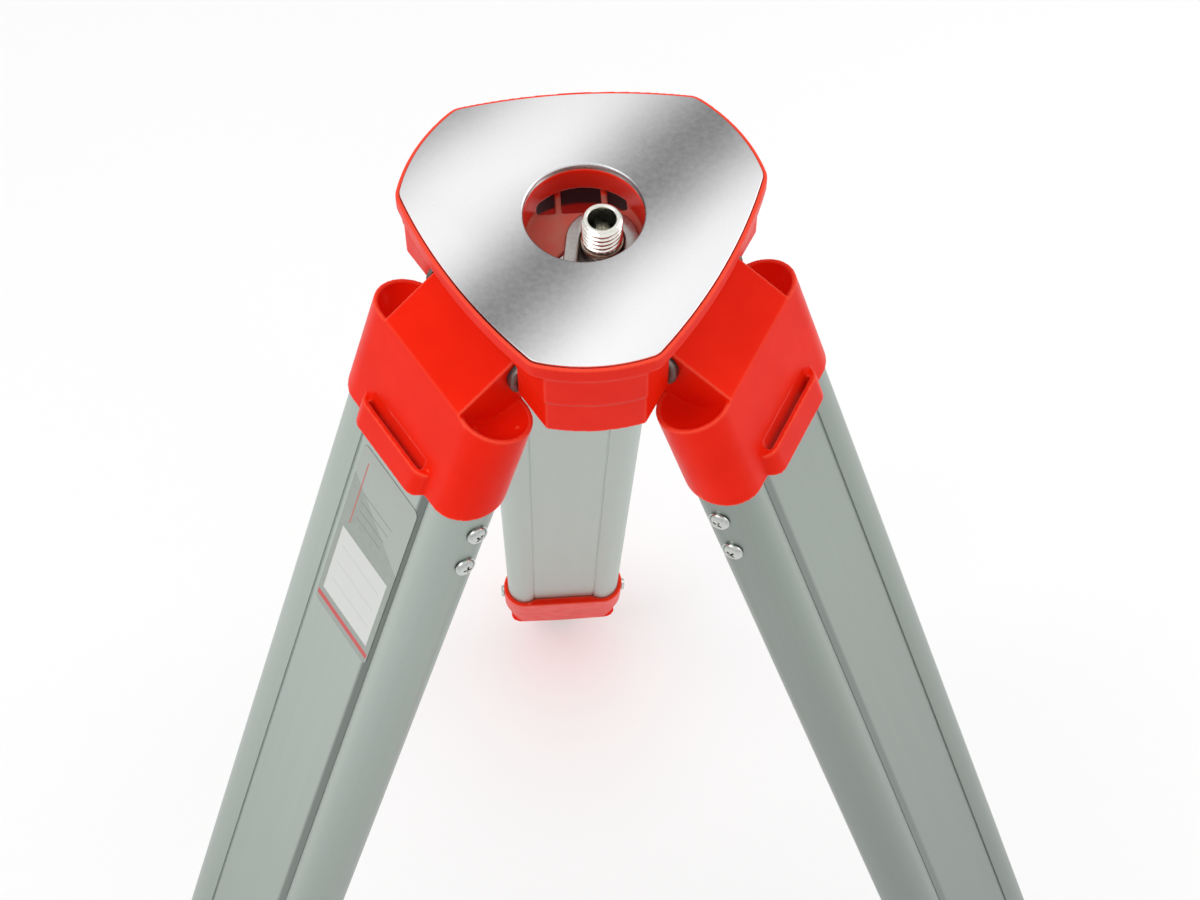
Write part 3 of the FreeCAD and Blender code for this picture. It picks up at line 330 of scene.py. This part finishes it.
M = {
    "plate": plate_metal(),
    "red_head": red_enamel("red_enamel_head", head_painted_sheen_shade_and_seam=True),
    "red": red_enamel("red_enamel"),
    "arm": plain_metal("grey_steel", (0.40, 0.39, 0.375), (0.50, 0.49, 0.47), 0.36),
    "spike": plain_metal("spike_steel", (0.42, 0.42, 0.42), (0.55, 0.55, 0.54), 0.34),
    "zinc": plain_metal("bright_zinc", (0.50, 0.52, 0.50), (0.62, 0.64, 0.61), 0.2, 0.05, 900.0),
    "screw": plain_metal("screw_zinc", (0.78, 0.77, 0.70), (0.88, 0.87, 0.81), 0.16, 0.05, 900.0),
    "brass": plain_metal("brass_bush", (0.36, 0.33, 0.26), (0.44, 0.40, 0.31), 0.36),
    # dull zinc, darkened well below its own tone as painted shade for pieces sitting in shaded gaps between parts
    "zinc_painted_shade": plain_metal("dull_zinc_painted_shade", (0.15, 0.125, 0.118), (0.21, 0.18, 0.165), 0.45),
    "black": plastic("black_plastic", (0.016, 0.016, 0.017), (0.028, 0.028, 0.029)),
    "label": label_film(),
}
for t in LEGS:
    # per leg: painted light level, strength of the painted groove shade, and which side is the inner one
    M["leg_" + t] = anodised("anodised_" + t, LEG_M[t], {"left": 1.15, "right": 0.86, "rear": 1.04}[t],
                              {"left": 0.78, "right": 0.50, "rear": 0.0}[t], {"left": -1.0, "right": 1.0, "rear": 0.0}[t])


def pick_material(node):
    s = SLOT[node]
    if node == "head_body":
        return M["red_head"]
    if s == "plate_aluminium":
        return M["plate"]
    if s == "red_enamel":
        return M["red"]
    if s == "anodised_aluminium":
        return M["leg_" + node.split("_")[-1]]
    if node.startswith(("foot_spike", "clamp_pin")):
        return M["spike"]
    if s == "grey_steel":
        return M["arm"]
    if s == "black_plastic":
        return M["black"]
    if s == "brass_bush":
        return M["brass"]
    if s == "blank_label":
        return M["label"]
    if node == "centring_screw":
        return M["screw"]
    # hinge washers, hinge bolts and knob washer take the shade-darkened zinc
    if node in ("hinge_washers", "hinge_bolts", "knob_washer"):
        return M["zinc_painted_shade"]
    return M["zinc"]


for n, o in CAD.items():
    o.data.materials.clear()
    o.data.materials.append(pick_material(n))

# ============================================================ mesh tools
DONE = []


def new_object(name, mesh):
    o = bpy.data.objects.new(name, mesh)
    bpy.context.scene.collection.objects.link(o)
    return o


def finish_piece(o, nodes, mat=None, smooth=35.0):
    nodes = [nodes] if isinstance(nodes, str) else nodes
    o.data.materials.clear()
    o.data.materials.append(mat or pick_material(nodes[0]))
    me = o.data
    if smooth:
        me.shade_smooth()
        me.set_sharp_from_angle(angle=math.radians(smooth))
    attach(o, BODY[nodes[0]])
    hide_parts(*nodes)
    DONE.append(o)
    return o


def apply_mods(o):
    dg = bpy.context.evaluated_depsgraph_get()
    me = bpy.data.meshes.new_from_object(o.evaluated_get(dg), depsgraph=dg)
    old = o.data
    o.modifiers.clear()
    o.data = me
    bpy.data.meshes.remove(old)
    return o


def bm_of(me):
    bm = bmesh.new()
    bm.from_mesh(me)
    return bm


def cleaned(node, angle=0.7):
    me = CAD[node].data.copy()
    bm = bm_of(me)
    bmesh.ops.remove_doubles(bm, verts=bm.verts, dist=2e-6)
    bmesh.ops.dissolve_limit(bm, angle_limit=math.radians(angle), use_dissolve_boundaries=False,
                             verts=bm.verts, edges=bm.edges, delimit={"NORMAL"})
    bm.to_mesh(me)
    bm.free()
    return me


def soften(node, radius, segments=2, limit=32.0, name=None):
    """The CAD shape with its sharp edges rounded."""
    o = new_object(name or node + "_fine", cleaned(node))
    b = o.modifiers.new("round", "BEVEL")
    b.width = radius
    b.segments = segments
    b.limit_method = "ANGLE"
    b.angle_limit = math.radians(limit)
    b.use_clamp_overlap = True
    b.miter_outer = "MITER_ARC"
    apply_mods(o)
    return finish_piece(o, node, smooth=40.0)


def cast(node, voxel, rounds, keep, name=None):
    """A casting: the CAD shape with every edge and corner filled and rounded as a mould leaves it."""
    me = CAD[node].data.copy()
    bm = bm_of(me)
    bmesh.ops.remove_doubles(bm, verts=bm.verts, dist=2e-6)
    bm.to_mesh(me)
    bm.free()
    o = new_object(name or node + "_cast", me)
    r = o.modifiers.new("skin", "REMESH")
    r.mode = "VOXEL"
    r.voxel_size = voxel
    r.adaptivity = 0.0
    s = o.modifiers.new("soft", "SMOOTH")
    s.factor = 0.5
    s.iterations = rounds
    if keep < 1.0:
        d = o.modifiers.new("light", "DECIMATE")
        d.decimate_type = "COLLAPSE"
        d.ratio = keep
        d.use_collapse_triangulate = True
    apply_mods(o)
    return o


def lathe(path, seg=64, radius=None):
    """Rings of the (radius, height) path round the Z axis; the path closes on itself."""
    bm = bmesh.new()
    rings = []
    for k, (r, z) in enumerate(path):
        ring = []
        for i in range(seg):
            a = 2 * math.pi * i / seg
            rr = radius(k, r, z, a) if radius else r
            ring.append(bm.verts.new((rr * math.cos(a), rr * math.sin(a), z)))
        rings.append(ring)
    for k in range(len(rings)):
        p, q = rings[k], rings[(k + 1) % len(rings)]
        for i in range(seg):
            j = (i + 1) % seg
            bm.faces.new((p[i], p[j], q[j], q[i]))
    bmesh.ops.recalc_face_normals(bm, faces=bm.faces)
    return bm


def mesh_from(bm, name):
    me = bpy.data.meshes.new(name)
    bm.to_mesh(me)
    bm.free()
    return me


# ============================================================ castings
head = cast("head_body", 0.00045, 9, 0.30)
finish_piece(head, "head_body", smooth=60.0)

# leg caps: one casting, three times
cap = cast("leg_cap_left", 0.00045, 9, 0.35)
for t in LEGS:
    me = cap.data.copy()
    me.transform(LEG_M[t] @ LEG_M["left"].inverted())
    finish_piece(new_object("leg_cap_" + t + "_cast", me), "leg_cap_" + t, smooth=60.0)
bpy.data.objects.remove(cap)
house = cast("clamp_housing_left", 0.0006, 3, 0.30)
foot = cast("foot_left", 0.0007, 4, 0.30)
for src, base in ((house, "clamp_housing_"), (foot, "foot_")):
    for t in LEGS:
        me = src.data.copy()
        me.transform(LEG_M[t] @ LEG_M["left"].inverted())
        finish_piece(new_object(base + t + "_cast", me), base + t, smooth=60.0)
    bpy.data.objects.remove(src)

# ============================================================ plate and fittings
soften("head_plate", 0.00028, 3)
soften("swing_arm", 0.00065, 3)
soften("arm_pivot", 0.0002, 2)
soften("arm_pivot_washer", 0.00012, 2)
soften("arm_pivot_nut", 0.0003, 2)
soften("plate_screws", 0.0002, 2)
soften("hinge_bolts", 0.0003, 2)
soften("hinge_washers", 0.0002, 2)
soften("slide_bush", 0.00012, 2)
soften("knob_washer", 0.00015, 2)
soften("centring_knob", 0.0009, 3)
soften("knob_set_screw", 0.0001, 2)


# centring screw with its real thread: 5/8 inch, 11 threads per inch, right handed
def centring_screw():
    lo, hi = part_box("centring_screw")
    cx, cy = (lo.x + hi.x) / 2, (lo.y + hi.y) / 2
    pitch, depth, major = 25.4 / 11, 1.40, 7.9375
    path = [(5.45, -65.0), (5.45, -40.0), (5.45, -15.0), (5.45, -2.62), (5.60, -2.30), (5.92, -2.03), (6.05, -2.0), (6.62, -2.0), (6.80, -2.04)]
    first = len(path)
    steps = 168
    top, bottom = -2.10, -15.15
    path += [(major, top + (bottom - top) * k / steps) for k in range(steps + 1)]
    last = len(path) - 1
    path += [(6.6, -15.22), (6.6, -40.0), (6.6, -64.8), (6.4, -65.0)]

    def r(k, rr, z, a):
        if not first <= k <= last:
            return rr
        f = (-z / pitch + a / (2 * math.pi)) % 1.0
        p = abs(2 * f - 1)
        p = min(1.0, max(0.0, (p - 0.07) / 0.86))
        p = 0.45 * p + 0.55 * (p * p * (3 - 2 * p))
        v = major - depth * p
        v = min(v, 6.84 + (-2.0 - z) * 1.05)
        end = (z - bottom) / 0.9
        if end < 1:
            v = min(v, 6.75 + (major - 6.75) * max(0.0, end))
        return max(v, 6.45)

    bm = lathe(path, 112, r)
    me = mesh_from(bm, "centring_screw_thread")
    me.transform(Matrix.Translation((cx, cy, 0)) @ Matrix.Scale(MM, 4))
    finish_piece(new_object("centring_screw_thread", me), "centring_screw", smooth=42.0)


centring_screw()


# pan head screws with a cross recess
def pan_head():
    path = [(0.02, -3.0), (1.9, -3.0), (2.05, -2.8), (2.05, -0.02), (4.35, -0.02), (4.5, 0.12), (4.52, 0.7)]
    for k in range(1, 13):
        a = math.pi / 2 * k / 12
        path.append((max(0.02, 4.52 * math.cos(a) ** 0.72), 0.7 + 1.82 * math.sin(a) ** 1.15))
    bm = lathe(path, 56)
    bmesh.ops.remove_doubles(bm, verts=bm.verts, dist=0.03)
    o = new_object("pan_head", mesh_from(bm, "pan_head"))
    for turn in (0, 90):
        t = bmesh.new()
        L0, L1, W0, W1, z0, z1 = 2.35, 1.15, 0.52, 0.34, 3.2, 0.75
        top = [t.verts.new((x * L0, y * W0, z0)) for x, y in ((-1, -1), (1, -1), (1, 1), (-1, 1))]
        low = [t.verts.new((x * L1, y * W1, z1)) for x, y in ((-1, -1), (1, -1), (1, 1), (-1, 1))]
        t.faces.new(top)
        t.faces.new(list(reversed(low)))
        for i in range(4):
            j = (i + 1) % 4
            t.faces.new((top[j], top[i], low[i], low[j]))
        bmesh.ops.recalc_face_normals(t, faces=t.faces)
        tool = new_object("recess_tool", mesh_from(t, "recess_tool"))
        tool.rotation_euler = (0, 0, math.radians(turn))
        bpy.context.view_layer.update()
        b = o.modifiers.new("recess", "BOOLEAN")
        b.operation = "DIFFERENCE"
        b.solver = "EXACT"
        b.object = tool
        apply_mods(o)
        bpy.data.objects.remove(tool)
    return o


pan = pan_head()
for t in LEGS:
    bm = bmesh.new()
    for sx in (1, -1):
        for at in (81.5, 100.8):
            me = pan.data.copy()
            spin = Matrix.Rotation(random.uniform(0, math.pi / 2), 4, "Z")
            aim = Matrix.Rotation(math.radians(90.0 * sx), 4, "Y")
            me.transform(LEG_M[t] @ Matrix.Scale(MM, 4) @ Matrix.Translation((43.4 * sx, 0, -at)) @ aim @ spin)
            bm.from_mesh(me)
            bpy.data.meshes.remove(me)
    finish_piece(new_object("cap_screws_" + t + "_pan", mesh_from(bm, "cap_screws_" + t)), "cap_screws_" + t, smooth=38.0)
bpy.data.objects.remove(pan)


# ============================================================ extrusions
def bone_points(pitch, lobe, web, groove=None, seg=52):
    """Outline of the dog-bone section, counter-clockwise, in millimetres."""
    a0 = math.asin(web / lobe)
    if groove:
        at, wide, deep = groove
        edge = at + wide / 2 + 0.22
        a0 = math.acos((pitch - edge) / lobe)
    pts = []

    def arc(cx, start, end):
        for k in range(seg + 1):
            a = start + (end - start) * k / seg
            pts.append((cx + lobe * math.cos(a), lobe * math.sin(a)))

    def flat(sign):
        """Along the web from one lobe to the other, down and up through the grooves."""
        if not groove:
            return
        for g in (at * sign, -at * sign):
            for off, dep in ((0.67, 0.0), (0.49, 0.10), (0.45, 0.5 * deep), (0.42, 0.8 * deep), (0.31, deep),
                             (-0.31, deep), (-0.42, 0.8 * deep), (-0.45, 0.5 * deep), (-0.49, 0.10), (-0.67, 0.0)):
                x = g + off * sign
                if abs(x) > at:
                    if abs(off) > 0.6:
                        continue
                    top = math.sqrt(lobe ** 2 - (abs(x) - pitch) ** 2) if abs(off) > 0.46 else web
                else:
                    top = web
                pts.append((x, sign * (top - dep)))

    arc(pitch, -math.pi + a0, math.pi - a0)
    flat(1)
    arc(-pitch, a0, 2 * math.pi - a0)
    flat(-1)
    return pts


def extrusion(node, outer, inner, s0, s1, tag):
    """Hollow bar: rings of the outer and inner outlines along the leg, with eased ends."""
    bm = bmesh.new()

    def ring(profile, s, ease=0.0):
        n = len(profile)
        out = []
        for i, (x, y) in enumerate(profile):
            if ease:
                xa, ya = profile[i - 1]
                xb, yb = profile[(i + 1) % n]
                tx, ty = xb - xa, yb - ya
                l = math.hypot(tx, ty) or 1.0
                x, y = x - ty / l * ease, y + tx / l * ease
            out.append(bm.verts.new((x, y, -s)))
        return out

    def skin(a, b):
        n = len(a)
        for i in range(n):
            j = (i + 1) % n
            bm.faces.new((a[i], a[j], b[j], b[i]))

    steps = max(2, int((s1 - s0) / 60))
    ss = [s0 + 0.25 + (s1 - s0 - 0.5) * k / steps for k in range(steps + 1)]
    o_rings = [ring(outer, s0, 0.2)] + [ring(outer, s) for s in ss] + [ring(outer, s1, 0.2)]
    i_rings = [ring(inner, s0)] + [ring(inner, s1)]
    for a, b in zip(o_rings, o_rings[1:]):
        skin(a, b)
    skin(i_rings[1], i_rings[0])
    me_ends = []
    for ro, ri in ((o_rings[0], i_rings[0]), (o_rings[-1], i_rings[1])):
        eo = [bm.edges.get((ro[i], ro[(i + 1) % len(ro)])) for i in range(len(ro))]
        ei = [bm.edges.get((ri[i], ri[(i + 1) % len(ri)])) for i in range(len(ri))]
        bmesh.ops.triangle_fill(bm, use_beauty=True, use_dissolve=False, edges=eo + ei)
    bmesh.ops.recalc_face_normals(bm, faces=bm.faces)
    me = mesh_from(bm, node + "_section")
    me.transform(LEG_M[tag] @ Matrix.Scale(MM, 4))
    return finish_piece(new_object(node + "_section", me), node, smooth=28.0)


for t in LEGS:
    extrusion("upper_leg_" + t, bone_points(30.4, 13.0, 10.7, (23.2, 0.9, 0.40)), bone_points(30.4, 11.2, 8.9), 38.0, 1060.0, t)
    extrusion("lower_leg_" + t, bone_points(30.4, 10.6, 8.3), bone_points(30.4, 8.9, 6.6), 430.0, 1128.0, t)
    soften("leg_guide_" + t, 0.0004, 2)
    soften("clamp_lever_" + t, 0.0009, 3)
    soften("clamp_pin_" + t, 0.0004, 2)
    soften("clamp_shoe_" + t, 0.0004, 2)
    soften("clamp_housing_screws_" + t, 0.0002, 2)
    soften("foot_rivets_" + t, 0.0002, 2)
    soften("foot_spike_" + t, 0.0003, 2)
    soften("hinge_bushes_" + t, 0.0002, 2)
soften("leg_label", 0.00006, 1)

# ============================================================ stage, light and camera
lo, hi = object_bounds()
floor_me = bpy.data.meshes.new("floor")
bm = bmesh.new()
bmesh.ops.create_grid(bm, x_segments=2, y_segments=2, size=30.0)
bm.to_mesh(floor_me)
bm.free()
floor = new_object("floor", floor_me)
floor.location = (0, 0, lo.z - 0.0005)
fm = bpy.data.materials.new("floor_paper")
fm.use_nodes = True
fb = fm.node_tree.nodes["Principled BSDF"]
fb.inputs["Base Color"].default_value = (0.93, 0.93, 0.93, 1)
fb.inputs["Roughness"].default_value = 0.9
floor_me.materials.append(fm)

S = bpy.context.scene
S.view_settings.view_transform = "Standard"
world = bpy.data.worlds.new("studio")
S.world = world
world.use_nodes = True
wn = world.node_tree
bg = wn.nodes["Background"]
tc = wn.nodes.new("ShaderNodeTexCoord")
sep = wn.nodes.new("ShaderNodeSeparateXYZ")
wn.links.new(tc.outputs["Generated"], sep.inputs[0])
ramp = wn.nodes.new("ShaderNodeValToRGB")
mr = wn.nodes.new("ShaderNodeMapRange")
mr.inputs["From Min"].default_value = -0.2
mr.inputs["From Max"].default_value = 1.0
wn.links.new(sep.outputs["Z"], mr.inputs["Value"])
wn.links.new(mr.outputs["Result"], ramp.inputs["Fac"])
cr = ramp.color_ramp
cr.elements[0].position = 0.0
cr.elements[0].color = (0.62, 0.62, 0.62, 1)
cr.elements[1].position = 1.0
cr.elements[1].color = (1.0, 1.0, 1.0, 1)
e = cr.elements.new(0.45)
e.color = (0.80, 0.80, 0.80, 1)
wn.links.new(ramp.outputs["Color"], bg.inputs["Color"])
bg.inputs["Strength"].default_value = 1.0


def area(name, where, target, size, power, size_y=None):
    d = bpy.data.lights.new(name, "AREA")
    d.energy = power
    d.size = size
    if size_y:
        d.shape = "RECTANGLE"
        d.size_y = size_y
    o = bpy.data.objects.new(name, d)
    S.collection.objects.link(o)
    o.location = where
    o.rotation_euler = (Vector(target) - Vector(where)).to_track_quat("-Z", "Y").to_euler()
    return o


area("key_top", (-1.5, -0.5, 1.9), (0, 0, -0.1), 1.5, 20.0)
area("fill_right", (1.8, 0.4, 0.5), (0, 0, -0.3), 1.2, 8.0, 1.8)

cam = bpy.data.cameras.new("camera")
cam.lens = 75.0
cam.sensor_width = 36.0
cam.sensor_fit = "HORIZONTAL"
cam.clip_start = 0.01
cam.clip_end = 60.0
camera = bpy.data.objects.new("camera", cam)
S.collection.objects.link(camera)
X = (0.9978451, -0.06554424, -0.00301791)
Y = (0.05679489, 0.83978418, 0.53994154)
Z = (-0.03285567, -0.53894942, 0.84169711)
camera.matrix_world = Matrix(((X[0], Y[0], Z[0], -0.029824), (X[1], Y[1], Z[1], -0.580207), (X[2], Y[2], Z[2], 0.740251), (0, 0, 0, 1)))
S.camera = camera
